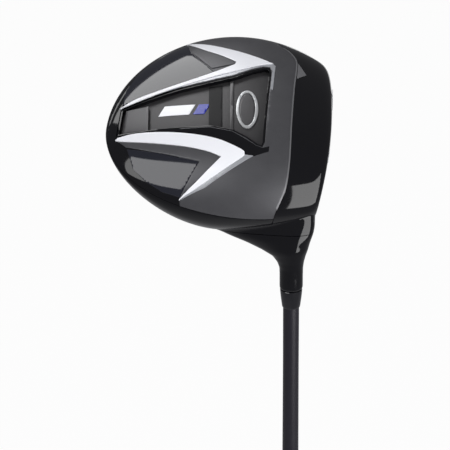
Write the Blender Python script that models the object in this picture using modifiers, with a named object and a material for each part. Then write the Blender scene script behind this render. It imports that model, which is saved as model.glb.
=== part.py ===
"""Golf driver, junior length, built as an assembly of separate pieces.

The club stands head up, as it does in a bag: the shaft's axis is the world's Z axis and the origin is
the butt end of the grip. The head is worked out in its own frame first (x towards the target, y towards
the heel, z away from the sole, all zero at the leading edge, face centre and ground line), and one matrix
then turns it onto the shaft at the lie angle.
"""

import math

import bmesh
import bpy
from mathutils import Matrix, Vector

# ---------------------------------------------------------------- driving dimensions, metres and degrees
CLUB_LENGTH = 1.040          # along the shaft from the ground line to the butt
LIE_ANGLE = 59.0
LOFT_ANGLE = 12.0
FIT_GAP = 0.0003             # between pieces that touch

HEAD_CENTRE_X = -0.0560
HEAD_CENTRE_Y = 0.0003
HEAD_FRONT_REACH = 0.0810    # the front of the outline before the face trims it
HEAD_REAR_REACH = 0.0636
HEAD_TOE_REACH = 0.0667
HEAD_HEEL_REACH = 0.0477
CROWN_HEIGHT = 0.0591
EQUATOR_FRONT = 0.0319
EQUATOR_REAR = 0.0126
EQUATOR_TOE = 0.0160
EQUATOR_HEEL = 0.0285
OUTLINE_POWER = 2.0
SOLE_POWER_PLAN = 2.0
SOLE_POWER_RISE = 1.88
CROWN_POWER_PLAN = 2.1
CROWN_POWER_RISE = 1.75
KEEL_X = -0.0356
KEEL_RADIUS = 0.520
CROWN_TOP_X = -0.035
CROWN_RADIUS = 0.330
FACE_BULGE_RADIUS = 0.436
LEADING_EDGE_HEIGHT = 0.005
FACE_EDGE_RADIUS = 0.006

CROWN_WALL = 0.0014
SOLE_WALL = 0.0040
CUP_WALL = 0.0022
FACE_WALL = 0.0034
SEAM_HEIGHT = 0.0200         # crown and sole seam, above the ground at the head's centre
SEAM_RISE_FORWARD = 0.140
SEAM_RISE_HEEL = 0.060

SHAFT_AXIS_X = -0.0199
SHAFT_AXIS_Y = 0.0200
SHAFT_TIP_RADIUS = 0.00425
SHAFT_BUTT_RADIUS = 0.00725
SHAFT_WALL = 0.0012
SHAFT_TIP_STATION = 0.0465    # stations are distances along the shaft from the ground line
SHAFT_PARALLEL_TIP = 0.080
HOSEL_RADIUS = 0.00613
HOSEL_END_STATION = 0.0781
HEEL_SEAM_STATION = 0.0455
FERRULE_LENGTH = 0.0108
FERRULE_END_RADIUS = 0.0047

GRIP_LENGTH = 0.240
GRIP_WALL = 0.0028
GRIP_MOUTH_RADIUS = 0.0086
TAPE_THICKNESS = 0.0005
CAP_THICKNESS = 0.0030
CAP_VENT_RADIUS = 0.0012
TIP_PLUG_LENGTH = 0.016

INLAY_THICKNESS = 0.0012
INLAY_DEPTH = 0.0024         # depth of the pocket in the sole
CHANNEL_DEPTH = 0.0036       # how far the channel's floor lies below the sole
TRAY_THICKNESS = 0.0014
BOSS_THICKNESS = 0.0085
OUTSIDE_SOLE = -0.015        # a height below all of the sole, where its cutters end
WEIGHT_RADIUS = 0.0075
WEIGHT_LENGTH = 0.0080

ROUND_STEPS = 40
HEAD_AZIMUTHS = 64
HEAD_LATITUDES = 26
LAYER_SPACING = 0.005

# outlines on the sole, (x, y) in millimetres in the head's frame
CUP_BORDER = [(-36.0, -75.0), (-34.2, -58.2), (-23.6, -43.8), (-22.6, -20.0), (-22.2, 10.0), (-21.9, 27.0),
              (-23.0, 35.8), (-25.3, 41.9), (-28.6, 47.1), (-34.0, 54.0)]
POCKET_OUTLINE = [(-81.8, -51.4), (-68.5, -49.0), (-54.7, -45.0), (-44.3, -41.0), (-34.2, -37.6),
                  (-34.2, 20.5), (-40.0, 23.6), (-46.5, 26.8), (-53.6, 31.6), (-66.7, 39.0), (-79.0, 42.5),
                  (-94.0, 34.6), (-102.6, 27.4), (-106.6, 19.8), (-107.0, 9.0), (-107.0, -10.5),
                  (-105.8, -22.0), (-101.5, -33.0), (-94.6, -43.2)]
CHANNEL_OUTLINE = [(-106.0, -11.0), (-102.4, -13.0), (-85.3, -19.0), (-69.8, -23.2), (-56.6, -26.7),
                   (-46.3, -32.0), (-37.0, -34.8), (-35.4, -15.0), (-35.4, 18.0), (-42.0, 15.0),
                   (-52.7, 10.5), (-65.1, 8.2), (-81.7, 8.8), (-96.9, 9.0), (-106.0, 9.3)]
TOE_CHEVRON = [(-81.0, -50.8), (-69.0, -48.6), (-54.7, -44.6), (-44.3, -40.6), (-34.8, -37.2), (-37.0, -35.3),
               (-46.5, -32.6), (-56.8, -27.3), (-70.0, -23.8), (-85.5, -19.6), (-102.6, -13.6), (-106.4, -11.8),
               (-105.8, -16.6), (-100.0, -20.2), (-87.5, -25.4), (-68.7, -33.6), (-57.0, -38.4)]
TOE_FACET = [(-81.4, -50.6), (-58.2, -38.9), (-69.2, -34.2), (-73.5, -37.5)]
TOE_WINDOW = [(-82.3, -50.2), (-74.0, -37.7), (-69.8, -33.9), (-87.7, -26.1), (-100.2, -20.9), (-105.6, -17.6),
              (-104.4, -21.8), (-100.0, -32.0), (-93.0, -41.6)]
HEEL_CHEVRON = [(-106.4, 10.0), (-96.9, 9.7), (-81.7, 9.5), (-65.1, 8.9), (-52.5, 11.2), (-41.8, 15.7),
                (-35.0, 18.9), (-35.0, 20.2), (-46.0, 25.2), (-53.2, 30.9), (-66.4, 38.4), (-77.5, 41.9),
                (-58.6, 26.4), (-71.2, 21.9), (-88.8, 18.0), (-106.4, 14.8)]
HEEL_FACET = [(-78.0, 41.3), (-59.6, 26.6), (-71.0, 22.7), (-74.0, 30.0)]
HEEL_WINDOW = [(-78.9, 40.8), (-74.7, 30.0), (-71.7, 22.6), (-88.9, 18.7), (-103.4, 15.8), (-102.4, 19.8),
               (-98.8, 25.6), (-91.6, 32.0)]
SLOT_OUTLINE = [(-69.0, -21.8), (-61.9, -23.8), (-59.3, 7.8), (-65.6, 7.0)]
POD_OUTLINE = [(-105.4, -8.2), (-100.6, -10.0), (-98.6, 7.2), (-105.4, 7.8)]
BADGE_CENTRE = (-46.8, -6.5)
BADGE_HALF_SIZE = (5.6, 12.0)


# ---------------------------------------------------------------- the head's form
def outline_reach(azimuth):
    """Distance from the head's centre to its outline in plan, for a direction in radians."""
    along, across = math.cos(azimuth), math.sin(azimuth)
    reach_x = HEAD_FRONT_REACH if along > 0 else HEAD_REAR_REACH
    reach_y = HEAD_HEEL_REACH if across > 0 else HEAD_TOE_REACH
    total = abs(along / reach_x) ** OUTLINE_POWER + abs(across / reach_y) ** OUTLINE_POWER
    return total ** (-1 / OUTLINE_POWER)


def equator_height(azimuth):
    along, across = math.cos(azimuth), math.sin(azimuth)
    end = EQUATOR_FRONT if along > 0 else EQUATOR_REAR
    side = EQUATOR_HEEL if across > 0 else EQUATOR_TOE
    return end * along * along + side * across * across


def keel_height(x):
    return (x - KEEL_X) ** 2 / (2 * KEEL_RADIUS)


def crown_height(x):
    return CROWN_HEIGHT - (x - CROWN_TOP_X) ** 2 / (2 * CROWN_RADIUS)


def smooth_minimum(a, b, width):
    share = min(max(0.5 + 0.5 * (b - a) / width, 0.0), 1.0)
    return b * (1 - share) + a * share - width * share * (1 - share)


def face_x(y, z):
    """Where the face lies, leaning back by the loft and bulging towards its middle."""
    lean = max(z - LEADING_EDGE_HEIGHT, 0.0) * math.tan(math.radians(LOFT_ANGLE))
    return -lean - y * y / (2 * FACE_BULGE_RADIUS)


def head_point(azimuth, latitude, inset, face_inset):
    """A point on the head's skin, or on its copy moved inwards by inset."""
    above = latitude > 0
    plan = CROWN_POWER_PLAN if above else SOLE_POWER_PLAN
    rise = CROWN_POWER_RISE if above else SOLE_POWER_RISE
    reach = max(math.cos(latitude), 0.0) ** (2 / plan) * (outline_reach(azimuth) - inset)
    lift = abs(math.sin(latitude)) ** (2 / rise)
    x = HEAD_CENTRE_X + reach * math.cos(azimuth)
    y = HEAD_CENTRE_Y + reach * math.sin(azimuth)
    equator = equator_height(azimuth)
    pole = crown_height(x) - inset if above else keel_height(x) + inset
    z = equator + (pole - equator) * lift
    x = smooth_minimum(x, face_x(y, z) - face_inset, FACE_EDGE_RADIUS)
    return Vector((x, y, z))


def sole_height(x, y):
    """Height of the sole's skin over a point of the plan, well inside the outline."""
    away_x, away_y = x - HEAD_CENTRE_X, y - HEAD_CENTRE_Y
    azimuth = math.atan2(away_y, away_x)
    share = min(math.hypot(away_x, away_y) / outline_reach(azimuth), 0.995)
    lift = (1 - share ** SOLE_POWER_PLAN) ** (1 / SOLE_POWER_RISE)
    equator = equator_height(azimuth)
    return equator - (equator - keel_height(x)) * lift


def head_to_world():
    """The matrix from the head's frame to the club's, which stands on its butt."""
    lie = math.radians(LIE_ANGLE)
    turn = Matrix(((1, 0, 0), (0, -math.sin(lie), math.cos(lie)), (0, -math.cos(lie), -math.sin(lie))))
    place = Vector((0, 0, CLUB_LENGTH)) - turn @ Vector((SHAFT_AXIS_X, SHAFT_AXIS_Y, 0))
    return Matrix.Translation(place) @ turn.to_4x4()


# ---------------------------------------------------------------- modelling helpers
def start_scene():
    for item in list(bpy.data.objects):
        bpy.data.objects.remove(item)
    groups = []
    for name in ("golf_driver", "cutters"):
        group = bpy.data.collections.new(name)
        bpy.context.scene.collection.children.link(group)
        groups.append(group)
    return groups


PARTS, CUTTERS = start_scene()


def material(name, colour, roughness, metallic=0.0):
    finish = bpy.data.materials.new(name)
    finish.use_nodes = True
    shader = finish.node_tree.nodes["Principled BSDF"]
    shader.inputs["Base Color"].default_value = (*colour, 1)
    shader.inputs["Roughness"].default_value = roughness
    shader.inputs["Metallic"].default_value = metallic
    return finish


def add_object(name, mesh, group):
    item = bpy.data.objects.new(name, mesh)
    group.objects.link(item)
    if group is CUTTERS:
        item.hide_render = True
        item.display_type = "WIRE"
    return item


def finish_part(item, finish):
    """Give a piece its material, smooth its round faces and fix its modifiers in the mesh."""
    bake(item)
    item.data.materials.clear()
    item.data.materials.append(finish)
    item.data.shade_smooth()
    item.data.set_sharp_from_angle(angle=math.radians(35))
    return item


def bake(item):
    """Replace an object's mesh by its evaluated one, with no modifiers left."""
    bpy.context.view_layer.update()
    graph = bpy.context.evaluated_depsgraph_get()
    mesh = bpy.data.meshes.new_from_object(item.evaluated_get(graph))
    item.modifiers.clear()
    item.data = mesh


def combine(item, other, operation):
    """Apply one Boolean to item with other, which becomes a hidden cutter."""
    change = item.modifiers.new("change", "BOOLEAN")
    change.operation = operation
    change.solver = "EXACT"
    change.object = other
    bake(item)
    return item


def head_form(name, inset, face_inset, group):
    """A closed body in the shape of the head, moved inwards by inset."""
    shape = bmesh.new()
    bmesh.ops.create_uvsphere(shape, u_segments=HEAD_AZIMUTHS, v_segments=HEAD_LATITUDES, radius=1)
    for vertex in shape.verts:
        latitude = math.asin(max(-1.0, min(1.0, vertex.co.z)))
        azimuth = math.atan2(vertex.co.y, vertex.co.x)
        vertex.co = head_point(azimuth, latitude, inset, face_inset)
    mesh = bpy.data.meshes.new(name)
    shape.to_mesh(mesh)
    shape.free()
    return add_object(name, mesh, group)


def prism(name, outline, low, high, group=None):
    """A flat outline in millimetres, extruded from low to high."""
    curve = bpy.data.curves.new(name, "CURVE")
    curve.dimensions = "2D"
    curve.fill_mode = "BOTH"
    curve.extrude = (high - low) / 2
    spline = curve.splines.new("POLY")
    spline.points.add(len(outline) - 1)
    for point, (x, y) in zip(spline.points, outline):
        point.co = (x / 1000, y / 1000, 0, 1)
    spline.use_cyclic_u = True
    guide = bpy.data.objects.new(name + "_curve", curve)
    CUTTERS.objects.link(guide)
    bpy.context.view_layer.update()
    graph = bpy.context.evaluated_depsgraph_get()
    mesh = bpy.data.meshes.new_from_object(guide.evaluated_get(graph))
    bpy.data.objects.remove(guide)
    shape = bmesh.new()
    shape.from_mesh(mesh)
    bmesh.ops.remove_doubles(shape, verts=shape.verts, dist=0.00001)
    bmesh.ops.recalc_face_normals(shape, faces=shape.faces)
    bmesh.ops.translate(shape, verts=shape.verts, vec=(0, 0, (low + high) / 2))
    shape.to_mesh(mesh)
    shape.free()
    return add_object(name, mesh, group or CUTTERS)


def sole_grid(depth, outline):
    """An open sheet over an outline's box, at depth below the sole's skin."""
    margin = LAYER_SPACING
    low_x, high_x = (edge(x for x, _ in outline) / 1000 for edge in (min, max))
    low_y, high_y = (edge(y for _, y in outline) / 1000 for edge in (min, max))
    size_x, size_y = high_x - low_x + 2 * margin, high_y - low_y + 2 * margin
    steps_x = max(2, round(size_x / LAYER_SPACING))
    steps_y = max(2, round(size_y / LAYER_SPACING))
    shape = bmesh.new()
    bmesh.ops.create_grid(shape, x_segments=steps_x, y_segments=steps_y, size=0.5)
    for vertex in shape.verts:
        x = (low_x + high_x) / 2 + vertex.co.x * size_x
        y = (low_y + high_y) / 2 + vertex.co.y * size_y
        vertex.co = (x, y, sole_height(x, y) + depth)
    return shape


def sole_cutter(name, depth, outline):
    """Everything outside the sole down to depth below its skin, within an outline."""
    shape = sole_grid(depth, outline)
    swept = bmesh.ops.extrude_face_region(shape, geom=shape.faces[:])
    for vertex in swept["geom"]:
        if isinstance(vertex, bmesh.types.BMVert):
            vertex.co.z = OUTSIDE_SOLE
    bmesh.ops.recalc_face_normals(shape, faces=shape.faces)
    mesh = bpy.data.meshes.new(name)
    shape.to_mesh(mesh)
    shape.free()
    return combine(add_object(name, mesh, CUTTERS), prism(name + "_trim", outline, -0.02, 0.08), "INTERSECT")


def sole_layer(name, depth, thickness, outline, group):
    """A sheet that follows the sole, its outer face at depth below the skin, cut to an outline."""
    shape = sole_grid(depth, outline)
    mesh = bpy.data.meshes.new(name)
    shape.to_mesh(mesh)
    shape.free()
    sheet = add_object(name, mesh, group)
    wall = sheet.modifiers.new("wall", "SOLIDIFY")
    wall.thickness = thickness
    wall.offset = 1
    bake(sheet)
    trim = prism(name + "_trim", outline, -0.02, 0.08)
    return combine(sheet, trim, "INTERSECT")


def moved_outline(outline, distance):
    """The outline with every corner moved outwards by a distance in millimetres."""
    count = len(outline)
    area = sum(outline[i][0] * outline[(i + 1) % count][1] - outline[(i + 1) % count][0] * outline[i][1]
               for i in range(count))
    side = distance if area > 0 else -distance
    moved = []
    for i in range(count):
        before, here, after = (Vector(outline[(i + step) % count]) for step in (-1, 0, 1))
        first = (here - before).normalized()
        second = (after - here).normalized()
        across_first = Vector((first.y, -first.x))
        across_second = Vector((second.y, -second.x))
        middle = (across_first + across_second).normalized()
        stretch = side / max(middle.dot(across_first), 0.5)
        moved.append((here.x + middle.x * stretch, here.y + middle.y * stretch))
    return moved


def turned(name, profile, group):
    """A body turned about Z from (radius, height) points that run down its outer side."""
    shape = bmesh.new()
    points = [shape.verts.new((radius, 0, height)) for radius, height in profile]
    for first, second in zip(points, points[1:]):
        shape.edges.new((first, second))
    if profile[0][0] > 0:
        shape.edges.new((points[-1], points[0]))
    mesh = bpy.data.meshes.new(name)
    shape.to_mesh(mesh)
    shape.free()
    item = add_object(name, mesh, group)
    screw = item.modifiers.new("turn", "SCREW")
    screw.steps = screw.render_steps = ROUND_STEPS
    screw.use_merge_vertices = True
    screw.merge_threshold = 0.00001
    bake(item)
    return item


def height(station):
    """World height of a station on the shaft."""
    return CLUB_LENGTH - station


def ring_loft(name, rings, group):
    """A closed body through oval rings: station, reach to the rear, front, sole side and crown side."""
    shape = bmesh.new()
    loops = []
    for station, rear, front, sole, crown in rings:
        loop = []
        for step in range(ROUND_STEPS):
            angle = math.tau * step / ROUND_STEPS
            along, across = math.cos(angle), math.sin(angle)
            x = along * (front if along > 0 else rear)
            y = across * (crown if across > 0 else sole)
            loop.append(shape.verts.new((x, y, height(station))))
        loops.append(loop)
    for upper, lower in zip(loops, loops[1:]):
        for step in range(ROUND_STEPS):
            after = (step + 1) % ROUND_STEPS
            shape.faces.new((upper[step], lower[step], lower[after], upper[after]))
    shape.faces.new(loops[0])
    shape.faces.new(list(reversed(loops[-1])))
    bmesh.ops.recalc_face_normals(shape, faces=shape.faces)
    mesh = bpy.data.meshes.new(name)
    shape.to_mesh(mesh)
    shape.free()
    return add_object(name, mesh, group)


def box(name, low, high, group):
    shape = bmesh.new()
    bmesh.ops.create_cube(shape, size=1)
    for vertex in shape.verts:
        for axis in range(3):
            vertex.co[axis] = low[axis] if vertex.co[axis] < 0 else high[axis]
    mesh = bpy.data.meshes.new(name)
    shape.to_mesh(mesh)
    shape.free()
    return add_object(name, mesh, group)


# ---------------------------------------------------------------- finishes
GLOSS_BLACK = material("gloss_black_paint", (0.004, 0.004, 0.006), 0.08)
PANEL_GREY = material("matte_grey_coat", (0.070, 0.070, 0.076), 0.45, 0.5)
CHEVRON_WHITE = material("white_enamel", (0.85, 0.87, 0.93), 0.25)
FACET_GREY = material("dark_facet_grey", (0.065, 0.065, 0.070), 0.35, 0.4)
WINDOW_BLACK = material("glossy_window", (0.030, 0.032, 0.040), 0.06)
TRAY_GREY = material("channel_grey", (0.045, 0.047, 0.046), 0.5, 0.3)
BRIGHT_METAL = material("bright_metal", (0.55, 0.55, 0.58), 0.25, 1.0)
SHAFT_PAINT = material("charcoal_shaft_paint", (0.030, 0.028, 0.038), 0.25)
FERRULE_PLASTIC = material("black_ferrule_plastic", (0.006, 0.006, 0.008), 0.15)
GRIP_RUBBER = material("black_grip_rubber", (0.020, 0.020, 0.021), 0.75)
TAPE_PAPER = material("grip_tape_paper", (0.55, 0.50, 0.38), 0.8)
TUNGSTEN = material("tungsten_weight", (0.20, 0.20, 0.21), 0.4, 1.0)

TO_WORLD = head_to_world()


def place_head_part(item):
    item.data.transform(TO_WORLD)


# ---------------------------------------------------------------- head shells
def rear_region(name, gap):
    """The plan behind the cup's border, as a tall prism."""
    border = [(x - gap, y) for x, y in CUP_BORDER]
    return prism(name, border + [(-150, 54), (-150, -75)], -0.03, 0.09)


def seam_block(name, offset, upwards):
    """A half space above or below the crown seam, which is a tilted plane."""
    low, high = (offset, 0.12) if upwards else (-0.12, offset)
    item = box(name, (-0.2, -0.2, low), (0.2, 0.2, high), CUTTERS)
    shear = Matrix(((1, 0, 0, 0), (0, 1, 0, 0), (SEAM_RISE_FORWARD, SEAM_RISE_HEEL, 1, 0), (0, 0, 0, 1)))
    lift = Matrix.Translation((HEAD_CENTRE_X, HEAD_CENTRE_Y, SEAM_HEIGHT))
    item.data.transform(lift @ shear)
    return item


def heel_block(name, gap):
    """The space of the hosel casting, below a plane square to the shaft, in the head's frame."""
    item = box(name, (-0.12, -0.12, 0.5), (0.12, 0.12, height(HEEL_SEAM_STATION - gap)), CUTTERS)
    item.data.transform(TO_WORLD.inverted())
    return item


def make_shells():
    """The crown, the sole and the cup: each is trimmed from the solid form first, then hollowed."""
    half_gap = FIT_GAP / 2
    shells = []
    for name, wall in (("crown_shell", CROWN_WALL), ("sole_shell", SOLE_WALL), ("face_cup", CUP_WALL)):
        body = head_form(name, 0, 0, PARTS)
        if name == "face_cup":
            combine(body, rear_region("cup_trim", -half_gap * 1000), "DIFFERENCE")
        else:
            combine(body, rear_region(name + "_trim", half_gap * 1000), "INTERSECT")
            upwards = name == "crown_shell"
            combine(body, seam_block(name + "_seam", half_gap if upwards else -half_gap, upwards), "INTERSECT")
        combine(body, heel_block(name + "_heel", FIT_GAP), "DIFFERENCE")
        combine(body, head_form(name + "_hollow", wall, FACE_WALL, CUTTERS), "DIFFERENCE")
        shells.append(body)
    boss = sole_layer("boss", 0.001, BOSS_THICKNESS, moved_outline(CHANNEL_OUTLINE, 2.5), CUTTERS)
    combine(boss, seam_block("boss_seam", -half_gap - CROWN_WALL, False), "INTERSECT")
    combine(shells[1], boss, "UNION")
    return shells


def cut_sole_pockets(sole):
    combine(sole, sole_cutter("pocket", INLAY_DEPTH, moved_outline(POCKET_OUTLINE, 0.6)), "DIFFERENCE")
    deep = CHANNEL_DEPTH + TRAY_THICKNESS + FIT_GAP
    combine(sole, sole_cutter("trench", deep, moved_outline(CHANNEL_OUTLINE, FIT_GAP * 1000)), "DIFFERENCE")


def make_inlays():
    tray = sole_layer("channel_tray", CHANNEL_DEPTH, TRAY_THICKNESS, CHANNEL_OUTLINE, PARTS)
    pieces = [(tray, TRAY_GREY)]
    for name, outline, finish, depth in (
            ("toe_chevron", TOE_CHEVRON, CHEVRON_WHITE, 0.0), ("heel_chevron", HEEL_CHEVRON, CHEVRON_WHITE, 0.0),
            ("toe_facet", TOE_FACET, FACET_GREY, 0.0), ("heel_facet", HEEL_FACET, FACET_GREY, 0.0),
            ("toe_window", TOE_WINDOW, WINDOW_BLACK, 0.0), ("heel_window", HEEL_WINDOW, WINDOW_BLACK, 0.0)):
        pieces.append((sole_layer(name, depth, INLAY_THICKNESS, outline, PARTS), finish))
    over_tray = CHANNEL_DEPTH - FIT_GAP
    for name, outline, finish, top in (
            ("slot_insert", SLOT_OUTLINE, WINDOW_BLACK, 0.0022), ("rear_pod_cover", POD_OUTLINE, TRAY_GREY, 0.0010)):
        pieces.append((sole_layer(name, top, over_tray - top, outline, PARTS), finish))
    for name, outer, inner, top, finish in (
            ("badge_ring", 1.0, 0.84, 0.0018, BRIGHT_METAL), ("badge_disc", 0.80, 0.0, 0.0023, TRAY_GREY)):
        rim = sole_layer(name, top, over_tray - top, oval(outer), PARTS)
        if inner:
            combine(rim, prism(name + "_hole", oval(inner), -0.02, 0.05), "DIFFERENCE")
        pieces.append((rim, finish))
    for item, finish in pieces:
        place_head_part(item)
        finish_part(item, finish)


def oval(share):
    """The badge's outline, at a share of its full size."""
    points = []
    for step in range(24):
        angle = math.tau * step / 24
        points.append((BADGE_CENTRE[0] + share * BADGE_HALF_SIZE[0] * math.cos(angle),
                       BADGE_CENTRE[1] + share * BADGE_HALF_SIZE[1] * math.sin(angle)))
    return points


def make_weight():
    """The slug inside the head, on the boss under the pod."""
    x, y = -0.0900, -0.0020
    boss_top = sole_height(x, y) + 0.001 + BOSS_THICKNESS
    base = boss_top + 0.0008
    slug = turned("rear_weight_slug", [(0, base + WEIGHT_LENGTH), (WEIGHT_RADIUS, base + WEIGHT_LENGTH),
                                       (WEIGHT_RADIUS, base), (0, base)], PARTS)
    slug.data.transform(Matrix.Translation((x, y, 0)))
    place_head_part(slug)
    finish_part(slug, TUNGSTEN)


# ---------------------------------------------------------------- hosel, shaft and grip
def make_hosel():
    block = head_form("hosel_casting", 0, 0, PARTS)
    place_head_part(block)
    space = heel_block("hosel_space", 0.0)
    place_head_part(space)
    combine(block, space, "INTERSECT")
    radius = HOSEL_RADIUS
    rings = [(HEEL_SEAM_STATION, 0.0280, 0.0105, 0.0060, 0.0215), (0.0515, 0.0225, 0.0094, 0.0070, 0.0180),
             (0.0551, 0.0153, 0.0085, 0.0072, 0.0130), (0.0586, 0.0104, 0.0076, 0.0068, 0.0095),
             (0.0622, 0.0076, 0.0066, 0.0064, 0.0072), (0.0658, radius, radius, radius, radius),
             (HOSEL_END_STATION, radius, radius, radius, radius)]
    combine(block, ring_loft("neck", rings, CUTTERS), "UNION")
    bore_radius = SHAFT_TIP_RADIUS + FIT_GAP
    bore = turned("hosel_bore", [(0, height(0.02)), (bore_radius, height(0.02)),
                                 (bore_radius, height(0.09)), (0, height(0.09))], CUTTERS)
    combine(block, bore, "DIFFERENCE")
    finish_part(block, GLOSS_BLACK)


def shaft_radius(z):
    """Outer radius of the shaft at a world height: parallel at the tip, then an even taper to the butt."""
    top_of_taper = height(SHAFT_TIP_STATION + SHAFT_PARALLEL_TIP)
    share = min(max((top_of_taper - z) / (top_of_taper - GRIP_LENGTH * 0.3), 0.0), 1.0)
    return SHAFT_TIP_RADIUS + (SHAFT_BUTT_RADIUS - SHAFT_TIP_RADIUS) * share


def make_shaft():
    butt, tip = CAP_THICKNESS + FIT_GAP, height(SHAFT_TIP_STATION)
    heights = [tip - (tip - butt) * step / 10 for step in range(11)]
    outer = [(shaft_radius(z), z) for z in heights]
    inner = [(shaft_radius(z) - SHAFT_WALL, z) for z in reversed(heights)]
    finish_part(turned("shaft", outer + inner, PARTS), SHAFT_PAINT)
    bore = SHAFT_TIP_RADIUS - SHAFT_WALL - FIT_GAP
    top = tip - 0.002
    plug = turned("shaft_tip_plug", [(0, top), (bore, top), (bore, top - TIP_PLUG_LENGTH),
                                     (0, top - TIP_PLUG_LENGTH)], PARTS)
    finish_part(plug, TUNGSTEN)


def make_ferrule():
    start, end = HOSEL_END_STATION + FIT_GAP, HOSEL_END_STATION + FERRULE_LENGTH
    bore = SHAFT_TIP_RADIUS + FIT_GAP
    profile = [(bore, height(start)), (HOSEL_RADIUS - 0.0003, height(start))]
    for step in range(1, 6):
        share = step / 5
        radius = HOSEL_RADIUS - 0.0003 - (HOSEL_RADIUS - 0.0003 - FERRULE_END_RADIUS) * share ** 1.3
        profile.append((max(radius, bore + 0.0001), height(start + (end - start) * share)))
    profile.append((bore, height(end)))
    finish_part(turned("ferrule", profile, PARTS), FERRULE_PLASTIC)


def make_grip():
    top = GRIP_LENGTH
    steps = [top - (top - CAP_THICKNESS - FIT_GAP) * step / 6 for step in range(7)]
    tape_in = [shaft_radius(z) + FIT_GAP for z in steps]
    tape_out = [radius + TAPE_THICKNESS for radius in tape_in]
    grip_in = [radius + FIT_GAP for radius in tape_out]
    grip_out = [max(GRIP_MOUTH_RADIUS, radius + GRIP_WALL * (0.45 + 0.55 * (top - z) / top))
                for radius, z in zip(grip_in, steps)]
    for name, outer, inner, trim, finish in (("grip_tape", tape_out, tape_in, 0.004, TAPE_PAPER),
                                             ("grip_sleeve", grip_out, grip_in, 0.0, GRIP_RUBBER)):
        heights = [min(z, top - trim) for z in steps]
        profile = list(zip(outer, heights)) + list(zip(reversed(inner), reversed(heights)))
        finish_part(turned(name, profile, PARTS), finish)
    rim = grip_out[-1]
    cap = turned("grip_end_cap", [(CAP_VENT_RADIUS, CAP_THICKNESS), (rim, CAP_THICKNESS), (rim, 0.001),
                                  (rim - 0.001, 0), (CAP_VENT_RADIUS, 0)], PARTS)
    finish_part(cap, GRIP_RUBBER)


def main():
    crown, sole, cup = make_shells()
    cut_sole_pockets(sole)
    for item, finish in ((crown, GLOSS_BLACK), (sole, PANEL_GREY), (cup, GLOSS_BLACK)):
        place_head_part(item)
        finish_part(item, finish)
    make_inlays()
    make_weight()
    make_hosel()
    make_shaft()
    make_ferrule()
    make_grip()


main()
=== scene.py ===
"""Looks of the golf driver: its head, shaft and grip, in studio light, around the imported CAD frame.

The head's skin follows the same formulas as the CAD model, at a finer step. Sizes are metres, and the
head's own frame is x towards the target, y towards the heel and z away from the sole.
"""

import logging
import math
from dataclasses import dataclass, field
from enum import Enum
from typing import Callable, Iterable, Sequence, Union

import bmesh
import bpy
from mathutils import Matrix, Vector


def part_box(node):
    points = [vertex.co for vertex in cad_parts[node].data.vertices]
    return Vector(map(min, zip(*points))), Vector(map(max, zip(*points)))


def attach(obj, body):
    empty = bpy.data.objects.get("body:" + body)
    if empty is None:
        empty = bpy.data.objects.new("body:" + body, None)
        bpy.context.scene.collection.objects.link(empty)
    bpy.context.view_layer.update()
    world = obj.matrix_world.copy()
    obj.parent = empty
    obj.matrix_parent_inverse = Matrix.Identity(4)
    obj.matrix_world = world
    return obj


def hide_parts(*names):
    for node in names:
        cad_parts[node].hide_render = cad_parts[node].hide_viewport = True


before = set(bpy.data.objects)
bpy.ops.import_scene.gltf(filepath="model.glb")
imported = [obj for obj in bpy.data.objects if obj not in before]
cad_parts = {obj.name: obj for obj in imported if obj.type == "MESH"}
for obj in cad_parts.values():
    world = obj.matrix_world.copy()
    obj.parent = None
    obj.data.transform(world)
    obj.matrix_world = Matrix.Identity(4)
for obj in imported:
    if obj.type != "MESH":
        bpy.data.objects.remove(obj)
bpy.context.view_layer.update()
LOG = logging.getLogger("golf_driver")
BODY = "root"

Number = Union[int, float]
Outline = Sequence[tuple[float, float]]


class Part(Enum):
    """Which side of the crown seam a shell lies on."""

    CROWN = "crown"
    SOLE = "sole"


# ------------------------------------------------------------------------------- shader expressions
class Expr:
    """A shader socket that takes Python's operators; each adds a Math node."""

    def __init__(self, tree: bpy.types.NodeTree, socket: bpy.types.NodeSocket) -> None:
        """Wrap a socket of a tree."""
        self.tree = tree
        self.socket = socket

    def math(self, operation: str, *others: Union["Expr", Number], clamp: bool = False) -> "Expr":
        """Apply one Math operation.

        Args:
            operation: the Math node's operation.
            others: its second and third inputs.
            clamp: whether the result is kept between 0 and 1.

        Returns:
            The result as an expression.
        """
        node = self.tree.nodes.new("ShaderNodeMath")
        node.operation = operation
        node.use_clamp = clamp
        for socket, value in zip(node.inputs, (self, *others)):
            if isinstance(value, Expr):
                self.tree.links.new(value.socket, socket)
            else:
                socket.default_value = value
        return Expr(self.tree, node.outputs[0])

    def __add__(self, other: Union["Expr", Number]) -> "Expr":
        """Sum."""
        return self.math("ADD", other)

    def __sub__(self, other: Union["Expr", Number]) -> "Expr":
        """Difference."""
        return self.math("SUBTRACT", other)

    def __rsub__(self, other: Number) -> "Expr":
        """A number less this."""
        return self.math("MULTIPLY", -1.0).math("ADD", other)

    def __mul__(self, other: Union["Expr", Number]) -> "Expr":
        """Product."""
        return self.math("MULTIPLY", other)

    def __truediv__(self, other: Union["Expr", Number]) -> "Expr":
        """Quotient."""
        return self.math("DIVIDE", other)

    __radd__ = __add__
    __rmul__ = __mul__

    def above(self, limit: float) -> "Expr":
        """1 where this is over a limit, else 0."""
        return self.math("GREATER_THAN", limit)

    def clamped(self) -> "Expr":
        """This, kept between 0 and 1."""
        return self.math("ADD", 0.0, clamp=True)


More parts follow.
